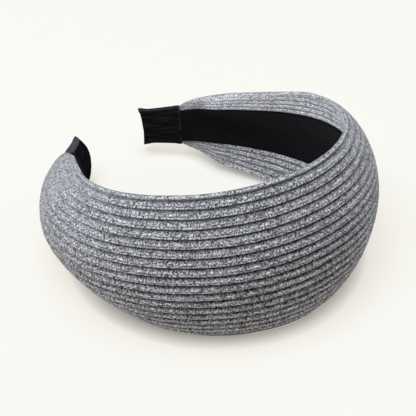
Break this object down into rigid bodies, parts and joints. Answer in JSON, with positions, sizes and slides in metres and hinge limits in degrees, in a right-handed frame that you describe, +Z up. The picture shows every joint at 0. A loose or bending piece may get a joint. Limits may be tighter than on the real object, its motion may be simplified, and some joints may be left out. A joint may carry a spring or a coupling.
{
  "type": "ribbed knit headband",
  "caption": "Wide padded headband in grey rib knit on an open hoop, with a black tape lining and black satin end sleeves, lying on its lower edge.",
  "frame": {"origin": "on the surface it lies on, under the middle of its bounding box", "axes": "+Z up from the surface, +Y towards the open end between the two sleeves, +X to the right seen from the crown"},
  "size_m": [0.1454, 0.146, 0.0681],
  "materials": {
    "rib_knit": "heathered mid-grey rib knit, slightly fuzzy",
    "felted_tape": "matt black felted tape",
    "satin": "black satin with a soft sheen"
  },
  "bodies": {
    "root": {"knit_pad": "rib_knit", "lining_tape": "felted_tape", "end_sleeve_left": "satin", "end_sleeve_right": "satin"}
  },
  "joints": []
}
